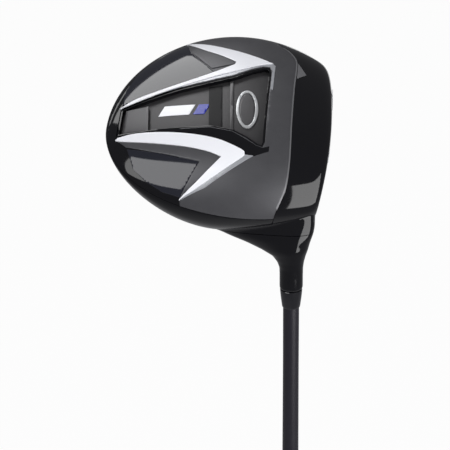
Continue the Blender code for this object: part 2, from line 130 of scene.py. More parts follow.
class Shader:
    """One material's node tree, with short ways to add nodes to it."""

    def __init__(self, name: str) -> None:
        """Start a material with its Principled shader."""
        self.material = bpy.data.materials.new(name)
        self.material.use_nodes = True
        self.tree = self.material.node_tree
        self.surface = self.tree.nodes["Principled BSDF"]

    def node(self, kind: str, settings: dict[str, object] | None = None, **values: object) -> bpy.types.Node:
        """Add a node.

        Args:
            kind: the node's type.
            settings: its properties, set before its sockets.
            values: numbers, colours or links for its sockets, named with _ for a space.

        Returns:
            The new node.
        """
        node = self.tree.nodes.new(kind)
        for key, value in (settings or {}).items():
            setattr(node, key, value)
        for key, value in values.items():
            socket = node.inputs[key.replace("_", " ")]
            if isinstance(value, Expr):
                self.tree.links.new(value.socket, socket)
            elif isinstance(value, bpy.types.NodeSocket):
                self.tree.links.new(value, socket)
            else:
                socket.default_value = value
        return node

    def place(self) -> bpy.types.NodeSocket:
        """The surface point in the object's own coordinates."""
        return self.node("ShaderNodeTexCoord").outputs["Object"]

    def noise(self, scale: float, detail: float = 3.0, roughness: float = 0.5) -> Expr:
        """Fractal noise between 0 and 1, its scale in waves per metre."""
        node = self.node("ShaderNodeTexNoise", Vector=self.place(), Scale=scale, Detail=detail, Roughness=roughness)
        return Expr(self.tree, node.outputs["Fac"])

    def mix(self, share: Expr, first: tuple[float, ...], second: tuple[float, ...]) -> bpy.types.NodeSocket:
        """A colour between two, by an expression."""
        node = self.tree.nodes.new("ShaderNodeMix")
        node.data_type = "RGBA"
        self.tree.links.new(share.socket, node.inputs[0])
        node.inputs[6].default_value = (*first, 1.0)
        node.inputs[7].default_value = (*second, 1.0)
        return node.outputs[2]

    def bump(self, height: Expr, depth: float, strength: float = 1.0) -> None:
        """Raise the surface by an expression, at most depth metres."""
        node = self.node("ShaderNodeBump", Height=height, Distance=depth, Strength=strength)
        self.tree.links.new(node.outputs["Normal"], self.surface.inputs["Normal"])

    def set(self, **values: object) -> None:
        """Set the Principled shader's sockets, named with _ for a space."""
        for key, value in values.items():
            socket = self.surface.inputs[key.replace("_", " ")]
            if isinstance(value, Expr):
                self.tree.links.new(value.socket, socket)
            elif isinstance(value, bpy.types.NodeSocket):
                self.tree.links.new(value, socket)
            else:
                socket.default_value = value


@dataclass(frozen=True)
class Finish:
    """A surface finish: two close colours, a gloss that wanders a little and a fine texture."""

    name: str
    colour: tuple[float, float, float]
    second: tuple[float, float, float]
    roughness: float
    spread: float = 0.04
    metallic: float = 0.0
    grain: float = 900.0
    depth: float = 0.00002
    coat: float = 0.0
    specular: float = 0.5

    def build(self) -> bpy.types.Material:
        """The finish as a material."""
        shader = Shader(self.name)
        cloud = shader.noise(self.grain * 0.05, 4.0, 0.6)
        fine = shader.noise(self.grain, 2.0, 0.7)
        tone = (cloud * 0.6 + fine * 0.4).clamped()
        shader.set(Base_Color=shader.mix(tone, self.colour, self.second), Metallic=self.metallic)
        shader.set(Roughness=(cloud - 0.5) * self.spread + self.roughness)
        shader.surface.inputs["Coat Weight"].default_value = self.coat
        shader.surface.inputs["Coat Roughness"].default_value = 0.03
        shader.surface.inputs["Specular IOR Level"].default_value = self.specular
        if self.depth:
            shader.bump(fine, self.depth)
        return shader.material


# Also the black of the channel's frame and of the strip beside the heel chevron, where it is painted shade along the
# channel's walls.
GLOSS_BLACK = Finish("gloss_black_lacquer_and_shade", (0.0025, 0.0025, 0.0035), (0.0045, 0.0045, 0.006), 0.055, 0.02,
                     grain=260.0, depth=0.0, specular=0.36)
PANEL_GREY = Finish("matte_grey_coat", (0.066, 0.066, 0.072), (0.090, 0.090, 0.097), 0.40, 0.10, 0.45,
                    grain=2600.0, depth=0.00003)
CHEVRON_WHITE = Finish("white_enamel", (0.86, 0.87, 0.91), (0.90, 0.91, 0.95), 0.22, 0.05, grain=400.0,
                       depth=0.0)
# Painted shade: the chevrons' bevelled sides are white enamel too; this grey stands in for the shade that falls on
# them.
BEVEL_SHADE = Finish("bevel_painted_shade", (0.34, 0.35, 0.37), (0.43, 0.44, 0.47), 0.28, 0.06, 0.35, grain=600.0)
FACET_GREY = Finish("dark_facet_grey", (0.050, 0.050, 0.055), (0.072, 0.072, 0.078), 0.35, 0.08, 0.4,
                    grain=1800.0)
WINDOW_BLACK = Finish("glossy_window", (0.010, 0.011, 0.017), (0.016, 0.017, 0.025), 0.06, 0.02, grain=200.0,
                      depth=0.0, coat=0.1, specular=0.42)
CHANNEL_GREY = Finish("channel_coat", (0.038, 0.037, 0.039), (0.054, 0.053, 0.055), 0.42, 0.10, 0.4,
                      grain=2200.0)
POD_GREY = Finish("pod_coat", (0.056, 0.055, 0.058), (0.076, 0.075, 0.078), 0.36, 0.08, 0.4, grain=2000.0)
# Painted shade: the slot is a recess, and this matte near-black stands in for the shade inside it.
SLOT_SHADE = Finish("slot_painted_shade", (0.004, 0.004, 0.005), (0.008, 0.008, 0.009), 0.5, 0.08, grain=900.0, depth=0.0,
                    specular=0.25)
RING_METAL = Finish("badge_ring_grey", (0.42, 0.43, 0.44), (0.52, 0.53, 0.54), 0.3, 0.06, 0.4, grain=800.0)
# Painted highlight: a grey, partly metallic colour for light glinting along the sole's front edge and on a corner of
# the cup.
RIM_HIGHLIGHT = Finish("rim_painted_highlight", (0.20, 0.20, 0.21), (0.27, 0.27, 0.28), 0.3, 0.06, 0.6, grain=800.0)
BLUE_ENAMEL = Finish("blue_enamel", (0.012, 0.020, 0.30), (0.018, 0.030, 0.38), 0.25, 0.05, grain=400.0, depth=0.0)
SHAFT_PAINT = Finish("charcoal_shaft_paint", (0.011, 0.010, 0.015), (0.016, 0.015, 0.021), 0.34, 0.06,
                     grain=1200.0, depth=0.000004, coat=0.05, specular=0.3)
FERRULE_BLACK = Finish("black_ferrule_plastic", (0.005, 0.005, 0.007), (0.008, 0.008, 0.010), 0.16, 0.05,
                       grain=500.0, depth=0.000004)
FACE_METAL = Finish("blasted_face_metal", (0.020, 0.020, 0.023), (0.034, 0.034, 0.038), 0.42, 0.10, 0.7,
                    grain=3200.0, depth=0.00004)
SCORE_WHITE = Finish("score_line_paint", (0.62, 0.63, 0.65), (0.70, 0.71, 0.73), 0.5, 0.05, grain=900.0)
GRIP_RUBBER = Finish("black_grip_rubber", (0.012, 0.012, 0.013), (0.022, 0.022, 0.023), 0.72, 0.14,
                     grain=2400.0, depth=0.00006)
CAP_RUBBER = Finish("grip_cap_rubber", (0.014, 0.014, 0.015), (0.020, 0.020, 0.021), 0.55, 0.10, grain=1600.0)
INNER_METAL = Finish("plain_inner_metal", (0.30, 0.30, 0.31), (0.38, 0.38, 0.39), 0.4, 0.1, 1.0, grain=900.0)
TAPE_PAPER = Finish("tape_paper", (0.52, 0.47, 0.36), (0.60, 0.55, 0.43), 0.85, 0.1, grain=1500.0)


# ------------------------------------------------------------------------------- mesh helpers
def new_object(name: str, mesh: bpy.types.Mesh) -> bpy.types.Object:
    """Link a mesh to the scene under a name."""
    item = bpy.data.objects.new(name, mesh)
    bpy.context.scene.collection.objects.link(item)
    return item


def from_bmesh(name: str, shape: bmesh.types.BMesh) -> bpy.types.Object:
    """Turn a bmesh into a linked object and free it."""
    mesh = bpy.data.meshes.new(name)
    shape.to_mesh(mesh)
    shape.free()
    return new_object(name, mesh)


def bake(item: bpy.types.Object) -> bpy.types.Object:
    """Replace an object's mesh by its evaluated one."""
    bpy.context.view_layer.update()
    graph = bpy.context.evaluated_depsgraph_get()
    mesh = bpy.data.meshes.new_from_object(item.evaluated_get(graph))
    item.modifiers.clear()
    item.data = mesh
    return item


def combine(item: bpy.types.Object, other: bpy.types.Object, operation: str) -> bpy.types.Object:
    """Apply one Boolean with another object, which is then removed."""
    change = item.modifiers.new("change", "BOOLEAN")
    change.operation = operation
    change.solver = "EXACT"
    change.object = other
    bake(item)
    bpy.data.objects.remove(other)
    return item


def round_edges(item: bpy.types.Object, width: float, segments: int = 2, angle: float = 35.0) -> bpy.types.Object:
    """Round an object's sharp edges."""
    bevel = item.modifiers.new("edges", "BEVEL")
    bevel.width = width
    bevel.segments = segments
    bevel.limit_method = "ANGLE"
    bevel.angle_limit = math.radians(angle)
    bevel.use_clamp_overlap = True
    return bake(item)


def dress(item: bpy.types.Object, finish: bpy.types.Material, nodes: Sequence[str] = (),
          sharp: float = 32.0) -> bpy.types.Object:
    """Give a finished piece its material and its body.

    Args:
        item: the piece.
        finish: its material.
        nodes: the CAD nodes that it stands for.
        sharp: the angle in degrees over which an edge stays sharp.

    Returns:
        The same piece.
    """
    item.data.materials.clear()
    item.data.materials.append(finish)
    item.data.shade_smooth()
    item.data.set_sharp_from_angle(angle=math.radians(sharp))
    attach(item, BODY)
    if nodes:
        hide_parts(*nodes)
    LOG.info("%s: %d faces", item.name, len(item.data.polygons))
    return item


def prism(name: str, outline: Outline, low: float, high: float) -> bpy.types.Object:
    """Extrude a flat outline, given in millimetres, from low to high."""
    shape = bmesh.new()
    ring = [shape.verts.new((x / 1000, y / 1000, low)) for x, y in outline]
    base = shape.faces.new(ring)
    swept = bmesh.ops.extrude_face_region(shape, geom=[base])
    for vertex in swept["geom"]:
        if isinstance(vertex, bmesh.types.BMVert):
            vertex.co.z = high
    bmesh.ops.recalc_face_normals(shape, faces=shape.faces)
    return from_bmesh(name, shape)


def smooth_outline(outline: Outline, corners: Sequence[int] = (), steps: int = 6) -> list[tuple[float, float]]:
    """Draw a closed smooth curve through an outline's points, keeping some corners sharp.

    Args:
        outline: the points in millimetres.
        corners: indices of points that stay sharp.
        steps: how many stretches each span is cut into.

    Returns:
        The finer outline.
    """
    count = len(outline)
    fine: list[tuple[float, float]] = []
    for i in range(count):
        here, after = Vector(outline[i]), Vector(outline[(i + 1) % count])
        before = Vector(outline[i - 1]) if i not in corners else here * 2 - after
        beyond = Vector(outline[(i + 2) % count]) if (i + 1) % count not in corners else after * 2 - here
        for step in range(steps):
            t = step / steps
            point = 0.5 * (2 * here + (after - before) * t + (2 * before - 5 * here + 4 * after - beyond) * t * t
                           + (3 * here - before - 3 * after + beyond) * t ** 3)
            fine.append((point.x, point.y))
    return fine


def offset_outline(outline: Outline, distance: float, closed: bool = True) -> list[tuple[float, float]]:
    """Move an anticlockwise outline outwards, or inwards where the distance is negative, in millimetres."""
    points = [Vector(point) for point in outline]
    count = len(points)
    moved = []
    for i, here in enumerate(points):
        before = points[i - 1] if closed or i else here
        after = points[(i + 1) % count] if closed or i < count - 1 else here
        first, second = here - before, after - here
        first = first.normalized() if first.length else second.normalized()
        second = second.normalized() if second.length else first
        normal = Vector((first.y + second.y, -first.x - second.x)).normalized()
        widen = max(0.5, normal.dot(Vector((first.y, -first.x))))
        place = here + normal * (distance / widen)
        moved.append((place.x, place.y))
    return moved


# ------------------------------------------------------------------------------- the head's form
@dataclass
class HeadForm:
    """The formulas of the head's skin, as the CAD model has them."""

    club_length: float = 1.040
    lie: float = 59.0
    loft: float = 12.0
    centre: tuple[float, float] = (-0.0560, 0.0003)
    reach: tuple[float, float, float, float] = (0.0810, 0.0636, 0.0667, 0.0477)
    crown_top: float = 0.0591
    equator: tuple[float, float, float, float] = (0.0319, 0.0126, 0.0160, 0.0285)
    sole_powers: tuple[float, float] = (2.0, 1.88)
    crown_powers: tuple[float, float] = (2.1, 1.75)
    keel: tuple[float, float] = (-0.0356, 0.520)
    crown: tuple[float, float] = (-0.035, 0.330)
    bulge: float = 0.436
    leading_edge: float = 0.005
    face_edge: float = 0.006
    seam: tuple[float, float, float] = (0.0200, 0.140, 0.060)
    shaft_at: tuple[float, float] = (-0.0199, 0.0200)
    heel_seam: float = 0.0455

    def outline_reach(self, azimuth: float) -> float:
        """Distance from the centre to the outline in plan."""
        along, across = math.cos(azimuth), math.sin(azimuth)
        reach_x = self.reach[0] if along > 0 else self.reach[1]
        reach_y = self.reach[3] if across > 0 else self.reach[2]
        return 1 / math.hypot(along / reach_x, across / reach_y)

    def equator_height(self, azimuth: float) -> float:
        """Height of the widest line for a direction."""
        along, across = math.cos(azimuth), math.sin(azimuth)
        end = self.equator[0] if along > 0 else self.equator[1]
        side = self.equator[3] if across > 0 else self.equator[2]
        return end * along * along + side * across * across

    def face_x(self, y: float, z: float) -> float:
        """Where the face lies at a height and a distance from its middle."""
        lean = max(z - self.leading_edge, 0.0) * math.tan(math.radians(self.loft))
        return -lean - y * y / (2 * self.bulge)

    def point(self, azimuth: float, latitude: float, inset: float = 0.0) -> Vector:
        """A point of the skin, or of its copy moved inwards by inset."""
        above = latitude > 0
        plan, rise = self.crown_powers if above else self.sole_powers
        reach = max(math.cos(latitude), 0.0) ** (2 / plan) * (self.outline_reach(azimuth) - inset)
        lift = abs(math.sin(latitude)) ** (2 / rise)
        x = self.centre[0] + reach * math.cos(azimuth)
        y = self.centre[1] + reach * math.sin(azimuth)
        middle = self.equator_height(azimuth)
        if above:
            pole = self.crown_top - (x - self.crown[0]) ** 2 / (2 * self.crown[1]) - inset
        else:
            pole = (x - self.keel[0]) ** 2 / (2 * self.keel[1]) + inset
        z = middle + (pole - middle) * lift
        wall = self.face_x(y, z) - inset
        share = min(max(0.5 + 0.5 * (wall - x) / self.face_edge, 0.0), 1.0)
        x = wall * (1 - share) + x * share - self.face_edge * share * (1 - share)
        return Vector((x, y, z))

    def sole_height(self, x: float, y: float) -> float:
        """Height of the sole's skin over a point of the plan."""
        away_x, away_y = x - self.centre[0], y - self.centre[1]
        azimuth = math.atan2(away_y, away_x)
        share = min(math.hypot(away_x, away_y) / self.outline_reach(azimuth), 0.995)
        lift = (1 - share ** self.sole_powers[0]) ** (1 / self.sole_powers[1])
        middle = self.equator_height(azimuth)
        return middle - (middle - (x - self.keel[0]) ** 2 / (2 * self.keel[1])) * lift

    def to_world(self) -> Matrix:
        """The matrix from the head's frame to the club's."""
        lie = math.radians(self.lie)
        turn = Matrix(((1, 0, 0), (0, -math.sin(lie), math.cos(lie)), (0, -math.cos(lie), -math.sin(lie))))
        place = Vector((0, 0, self.club_length)) - turn @ Vector((*self.shaft_at, 0))
        return Matrix.Translation(place) @ turn.to_4x4()

    def body(self, name: str, inset: float, around: int = 192, up: int = 96) -> bpy.types.Object:
        """A closed body in the head's shape, moved inwards by inset."""
        shape = bmesh.new()
        bmesh.ops.create_uvsphere(shape, u_segments=around, v_segments=up, radius=1)
        for vertex in shape.verts:
            latitude = math.asin(max(-1.0, min(1.0, vertex.co.z)))
            vertex.co = self.point(math.atan2(vertex.co.y, vertex.co.x), latitude, inset)
        return from_bmesh(name, shape)

    def seam_block(self, shift: float, part: Part) -> bpy.types.Object:
        """The half space on one side of the crown seam."""
        shape = bmesh.new()
        bmesh.ops.create_cube(shape, size=1)
        low, high = (shift, 0.12) if part is Part.CROWN else (-0.12, shift)
        for vertex in shape.verts:
            z = low if vertex.co.z < 0 else high
            x, y = math.copysign(0.2, vertex.co.x), math.copysign(0.2, vertex.co.y)
            tilt = self.seam[1] * x + self.seam[2] * y
            vertex.co = (x + self.centre[0], y + self.centre[1], z + tilt + self.seam[0])
        return from_bmesh("seam_block", shape)

    def heel_block(self, gap: float) -> bpy.types.Object:
        """The space of the hosel casting, in the head's frame."""
        shape = bmesh.new()
        bmesh.ops.create_cube(shape, size=1)
        top = self.club_length - self.heel_seam + gap
        for vertex in shape.verts:
            vertex.co = (math.copysign(0.12, vertex.co.x), math.copysign(0.12, vertex.co.y),
                         0.5 if vertex.co.z < 0 else top)
        item = from_bmesh("heel_block", shape)
        item.data.transform(self.to_world().inverted())
        return item

    def layer(self, name: str, outline: Outline, proud: float, thickness: float,
              spacing: float = 0.0015, dip: Callable[[float, float], float] | None = None) -> bpy.types.Object:
        """A sheet on the sole, within an outline.

        Args:
            name: the piece's name.
            outline: its plan in millimetres.
            proud: how far its outer face stands out of the skin.
            thickness: its thickness.
            spacing: the grid's step.
            dip: an extra depth for each point of the plan.

        Returns:
            The closed sheet, in the head's frame.
        """
        xs, ys = [x / 1000 for x, _ in outline], [y / 1000 for _, y in outline]
        low = Vector((min(xs) - spacing, min(ys) - spacing))
        size = Vector((max(xs) + spacing, max(ys) + spacing)) - low
        steps = [max(2, round(length / spacing)) for length in size]
        shape = bmesh.new()
        bmesh.ops.create_grid(shape, x_segments=steps[0], y_segments=steps[1], size=0.5)
        for vertex in shape.verts:
            x = low.x + (vertex.co.x + 0.5) * size.x
            y = low.y + (vertex.co.y + 0.5) * size.y
            vertex.co = (x, y, self.sole_height(x, y) - proud + (dip(x, y) if dip else 0.0))
        top = [vertex for vertex in shape.verts]
        swept = bmesh.ops.extrude_face_region(shape, geom=shape.faces[:])
        for vertex in swept["geom"]:
            if isinstance(vertex, bmesh.types.BMVert):
                vertex.co.z += thickness
        bmesh.ops.recalc_face_normals(shape, faces=shape.faces)
        del top
        return combine(from_bmesh(name, shape), prism("trim", outline, -0.02, 0.08), "INTERSECT")


# ------------------------------------------------------------------------------- head sub-assemblies
@dataclass
class HeadShells:
    """The painted crown, the grey sole with its trench, and the cup with the face."""

    form: HeadForm
    gap: float = 0.0003
    wall: float = 0.0030
    edge: float = 0.0003
    border: Outline = ((-43.0, -75.0), (-33.0, -59.0), (-27.0, -53.0), (-23.0, -46.5), (-22.0, -39.5), (-22.0, -24.0),
                       (-21.5, 0.0), (-21.0, 20.0), (-22.0, 32.5), (-24.5, 39.0), (-29.5, 46.0), (-37.0, 54.0))
    panel_rear: float = -79.0
    trench: Outline = ()

    def edge_path(self) -> list[tuple[float, float]]:
        """The cup's border as a smooth path in plan, from the toe to the heel."""
        count = len(self.border)
        corners = (0, count - 1, count, count + 1)
        fine = smooth_outline((*self.border, (-150.0, 54.0), (-150.0, -75.0)), corners, 6)
        return fine[:6 * (count - 1) + 1]

    def rear_region(self, shift: float) -> bpy.types.Object:
        """The plan behind the cup's border."""
        edge = [(x + shift * 1000, y) for x, y in self.edge_path()]
        return prism("rear_region", edge + [(-150, 54), (-150, -75)], -0.03, 0.09)

    def split_panel(self, item: bpy.types.Object) -> bpy.types.Object:
        """Take the lacquered rear skirt off the grey sole and return it."""
        rear = new_object("rear_skirt", item.data.copy())
        edge, far = self.panel_rear, -150.0
        region = ((edge - 6.0, -80.0), (edge + 4.0, 60.0), (far, 60.0), (far, -80.0))
        combine(rear, prism("skirt_region", region, -0.03, 0.09), "INTERSECT")
        combine(item, prism("skirt_region", region, -0.03, 0.09), "DIFFERENCE")
        return rear

    def shell(self, name: str, part: Part | None) -> bpy.types.Object:
        """One hollow shell; no part means the cup."""
        item = self.form.body(name, 0.0)
        if part is None:
            combine(item, self.rear_region(self.gap / 2), "DIFFERENCE")
        else:
            combine(item, self.rear_region(-self.gap / 2), "INTERSECT")
            shift = self.gap / 2 if part is Part.CROWN else -self.gap / 2
            combine(item, self.form.seam_block(shift, part), "INTERSECT")
        combine(item, self.form.heel_block(self.gap), "DIFFERENCE")
        combine(item, self.form.body("hollow", self.wall, 96, 48), "DIFFERENCE")
        return item

    def build(self) -> None:
        """Make and dress the three shells."""
        black, grey = GLOSS_BLACK.build(), PANEL_GREY.build()
        for name, part, finish, slot, node in (
                ("crown_skin", Part.CROWN, black, "gloss_black", "crown_shell"),
                ("cup_skin", None, black, "gloss_black", "face_cup"),
                ("sole_skin", Part.SOLE, grey, "sole_grey", "sole_shell")):
            item = self.shell(name, part)
            if part is Part.SOLE:
                cutter = self.form.layer("trench", self.trench, 0.012, 0.012 + ChannelParts.floor_depth + 0.0012)
                combine(item, cutter, "DIFFERENCE")
                skirt = self.split_panel(item)
                skirt.data.transform(self.form.to_world())
                dress(skirt, black, sharp=50.0)
            round_edges(item, self.edge, 2, 40.0)
            item.data.transform(self.form.to_world())
            dress(item, finish, [node], sharp=50.0)


@dataclass
class ChannelParts:
    """The recessed channel of the sole with its pod, slot, ridge, bars and blank badge."""

    form: HeadForm
    floor_depth: float = 0.0032
    outline: Outline = ((-113.0, -10.0), (-99.5, -15.0), (-83.0, -20.5), (-67.5, -24.5), (-54.5, -28.5),
                        (-45.0, -34.0), (-39.5, -36.5), (-36.0, -36.5), (-34.8, -33.5), (-34.6, -15.5),
                        (-34.2, 14.0), (-35.2, 16.8), (-38.5, 16.0), (-44.0, 12.5), (-51.0, 9.0),
                        (-63.0, 6.5), (-79.0, 7.0), (-94.0, 7.2), (-113.0, 8.0))
    pod: Outline = ((-110.0, -9.0), (-98.0, -10.5), (-96.0, 6.0), (-109.0, 6.5))
    slot: Outline = ((-67.0, -22.5), (-60.0, -23.5), (-57.0, 6.0), (-64.0, 6.0))
    ridge: Outline = ((-56.0, -26.0), (-54.4, -26.8), (-51.0, 8.0), (-52.6, 7.6))
    frame_width: float = 1.2
    badge_centre: tuple[float, float] = (-45.3, -7.6)
    badge_size: tuple[float, float] = (5.7, 12.6)
    badge_rim: float = 1.5

    def oval(self, inset: float, steps: int = 64) -> list[tuple[float, float]]:
        """The badge's outline, moved inwards by inset and turned with the channel."""
        points = []
        for step in range(steps):
            angle = math.tau * step / steps
            x, y = (self.badge_size[0] - inset) * math.cos(angle), (self.badge_size[1] - inset) * math.sin(angle)
            turn = math.radians(-5.5)
            points.append((self.badge_centre[0] + x * math.cos(turn) - y * math.sin(turn),
                           self.badge_centre[1] + x * math.sin(turn) + y * math.cos(turn)))
        return points

    def add(self, item: bpy.types.Object, finish: bpy.types.Material, slot: str, nodes: Sequence[str] = (),
            edge: float = 0.0002) -> None:
        """Round, place and dress one piece."""
        round_edges(item, edge, 2, 40.0)
        item.data.transform(self.form.to_world())
        dress(item, finish, nodes)

    def build(self) -> None:
        """Make every piece in the channel."""
        form, depth = self.form, self.floor_depth
        coat, pod_coat = CHANNEL_GREY.build(), POD_GREY.build()
        white, blue, dark = CHEVRON_WHITE.build(), BLUE_ENAMEL.build(), SLOT_SHADE.build()
        bright, frame_shade_black = RING_METAL.build(), GLOSS_BLACK.build()
        self.add(form.layer("channel_floor", self.outline, -depth, 0.0011), coat, "channel_grey", ["channel_tray"])
        self.add(form.layer("rear_pod", smooth_outline(self.pod, range(4)), -0.0012, depth - 0.0014), pod_coat,
                 "channel_grey", ["rear_pod_cover"], 0.0005)
        # A thin near-black sheet just above the channel floor, painted shade of the slot's recess.
        self.add(form.layer("dark_slot", self.slot, -depth + 0.0004, 0.0003), dark, "window_black", ["slot_insert"])
        # The frame ring stands for the channel's wall; its gloss black is painted shade, the dark line the wall's
        # shadow makes between the chevrons and the channel.
        frame_ring = form.layer("channel_frame", offset_outline(self.outline, -0.25), -depth + 0.0026, 0.0024)
        hole = prism("frame_hole", offset_outline(self.outline, -self.frame_width), -0.02, 0.08)
        combine(frame_ring, hole, "DIFFERENCE")
        self.add(frame_ring, frame_shade_black, "gloss_black", (), 0.0006)
        self.add(form.layer("cross_ridge", self.ridge, -depth + 0.0009, 0.0008), pod_coat, "channel_grey")
        ring = form.layer("badge_rim", self.oval(0.0), -depth + 0.0008, 0.0007, 0.0012)
        combine(ring, prism("hole", self.oval(self.badge_rim), -0.02, 0.06), "DIFFERENCE")
        self.add(ring, bright, "bright_metal", ["badge_ring"], 0.00015)
        self.add(form.layer("badge_face", self.oval(self.badge_rim + 0.15), -depth + 0.0005, 0.0004, 0.0012), pod_coat,
                 "channel_grey", ["badge_disc"])
        for name, start, width, finish in (("white_bar", -92.0, 16.5, white), ("blue_bar", -73.5, 6.0, blue)):
            lean, low, high = 2.6, -10.8, -4.2
            bar = ((start + lean, low), (start + lean + width, low), (start + width, high), (start, high))
            self.add(form.layer(name, bar, -depth + 0.00025, 0.0003), finish, "white_enamel", (), 0.00008)


@dataclass
class ChevronSide:
    """A white chevron of one side, with its bevels in painted shade, facet and glossy window."""

    form: HeadForm
    side: str
    white: Outline
    sharp: Sequence[int]
    bevel: Outline
    facet: Outline
    window: Outline
    proud: float = 0.0007

    def build(self) -> None:
        """Make and dress the side's four pieces."""
        form = self.form
        for name, outline, proud, thick, finish, slot, node, edge in (
                ("chevron_band", smooth_outline(self.white, self.sharp), self.proud, 0.0012, CHEVRON_WHITE,
                 "white_enamel", f"{self.side}_chevron", 0.00025),
                # the bevel band is the white chevron's bevelled side, coloured grey as painted shade
                ("bevel_band", self.bevel, self.proud * 0.4, 0.0010, BEVEL_SHADE, "white_enamel", "", 0.0001),
                ("facet_panel", self.facet, 0.0004, 0.0010, FACET_GREY, "facet_grey", f"{self.side}_facet", 0.0001),
                ("window_panel", self.window, 0.0002, 0.0010, WINDOW_BLACK, "window_black",
                 f"{self.side}_window", 0.00005)):
            item = form.layer(f"{self.side}_{name}", outline, proud, thick, 0.0009)
            round_edges(item, edge, 2, 40.0)
            item.data.transform(form.to_world())
            dress(item, finish.build(), [node] if node else ())


@dataclass
class PanelRimHighlight:
    """A painted highlight: the bright line where light catches the bevelled front edge of the sole, beside the cup,
    laid on as a thin grey sheet.
    """

    form: HeadForm
    border: Outline
    width: float = 0.0006
    proud: float = 0.00012

    def build(self) -> None:
        """Make the painted highlight as a thin sheet that follows the border."""
        path = self.border
        outer = offset_outline(path, 0.1, False)
        inner = offset_outline(path, -self.width * 1000, False)
        inner.reverse()
        item = self.form.layer("panel_rim", outer + inner, self.proud, 0.0006, 0.0010)
        item.data.transform(self.form.to_world())
        dress(item, RIM_HIGHLIGHT.build())


@dataclass
class Hosel:
    """The heel casting: the heel of the head's form with the neck growing out of it."""

    form: HeadForm
    radius: float = 0.00613
    end: float = 0.0781
    voxel: float = 0.0007
    inset: float = 0.00015
    root: float = 0.0170
    fade: float = 0.0120
    rings: Sequence[tuple[float, float, float, float, float]] = (
        (0.0330, 0.0340, 0.0100, 0.0010, 0.0200), (0.0400, 0.0440, 0.0122, 0.0046, 0.0245),
        (0.0455, 0.0400, 0.0118, 0.0066, 0.0230), (0.0485, 0.0330, 0.0108, 0.0070, 0.0208),
        (0.0515, 0.0248, 0.0097, 0.0070, 0.0172),
        (0.0551, 0.0166, 0.0088, 0.0072, 0.0132), (0.0586, 0.0104, 0.0076, 0.0068, 0.0095),
        (0.0622, 0.0076, 0.0067, 0.0064, 0.0072), (0.0658, 0.00625, 0.0062, 0.0062, 0.0062),
        (0.0700, 0.00613, 0.00613, 0.00613, 0.00613), (0.0781, 0.00613, 0.00613, 0.00613, 0.00613))

    def neck(self, steps: int = 64) -> bpy.types.Object:
        """The neck as a loft through oval rings, in the club's frame."""
        shape = bmesh.new()
        loops = []
        for station, rear, front, sole, crown in self.rings:
            loop = []
            for step in range(steps):
                angle = math.tau * step / steps
                along, across = math.cos(angle), math.sin(angle)
                loop.append(shape.verts.new((along * (front if along > 0 else rear),
                                             across * (crown if across > 0 else sole),
                                             self.form.club_length - station)))
            loops.append(loop)
        for upper, lower in zip(loops, loops[1:]):
            for step in range(steps):
                after = (step + 1) % steps
                shape.faces.new((upper[step], lower[step], lower[after], upper[after]))
        shape.faces.new(loops[0])
        shape.faces.new(list(reversed(loops[-1])))
        bmesh.ops.recalc_face_normals(shape, faces=shape.faces)
        return from_bmesh("neck", shape)

    def slice(self, name: str, mesh: bpy.types.Mesh, low: float, high: float) -> bpy.types.Object:
        """The part of a closed mesh between two heights, closed again."""
        shape = bmesh.new()
        shape.from_mesh(mesh)
        for height, up in ((high, 1.0), (low, -1.0)):
            geometry = shape.verts[:] + shape.edges[:] + shape.faces[:]
            bmesh.ops.bisect_plane(shape, geom=geometry, plane_co=(0, 0, height), plane_no=(0, 0, up),
                                   clear_outer=True)
            rim = [edge for edge in shape.edges if edge.is_boundary]
            bmesh.ops.contextual_create(shape, geom=rim)
        bmesh.ops.recalc_face_normals(shape, faces=shape.faces)
        return from_bmesh(name, shape)

    def build(self) -> None:
        """Blend the heel and the neck, and part them at the seam with a thin groove."""
        block = self.form.body("blend", self.inset)
        combine(block, self.form.heel_block(self.root), "INTERSECT")
        block.data.transform(self.form.to_world())
        combine(block, self.neck(), "UNION")
        remesh = block.modifiers.new("skin", "REMESH")
        remesh.mode = "VOXEL"
        remesh.voxel_size = self.voxel
        bake(block)
        group = block.vertex_groups.new(name="shoulder")
        seam_height = self.form.club_length - self.form.heel_seam
        for vertex in block.data.vertices:
            weight = (vertex.co.z - seam_height + self.fade) / self.fade
            group.add([vertex.index], min(max(weight, 0.04), 1.0), "REPLACE")
        smooth = block.modifiers.new("blend", "SMOOTH")
        smooth.factor = 0.5
        smooth.iterations = 70
        smooth.vertex_group = group.name
        bake(block)
        seam = self.form.club_length - self.form.heel_seam
        casting = self.slice("hosel_skin", block.data, self.form.club_length - self.end + 0.0001, seam)
        dress(casting, GLOSS_BLACK.build(), ["hosel_casting"], sharp=50.0)
        root = self.slice("heel_root", block.data, seam + 0.0003, seam + self.root - 0.0015)
        dress(root, GLOSS_BLACK.build(), sharp=50.0)
        bpy.data.objects.remove(block)


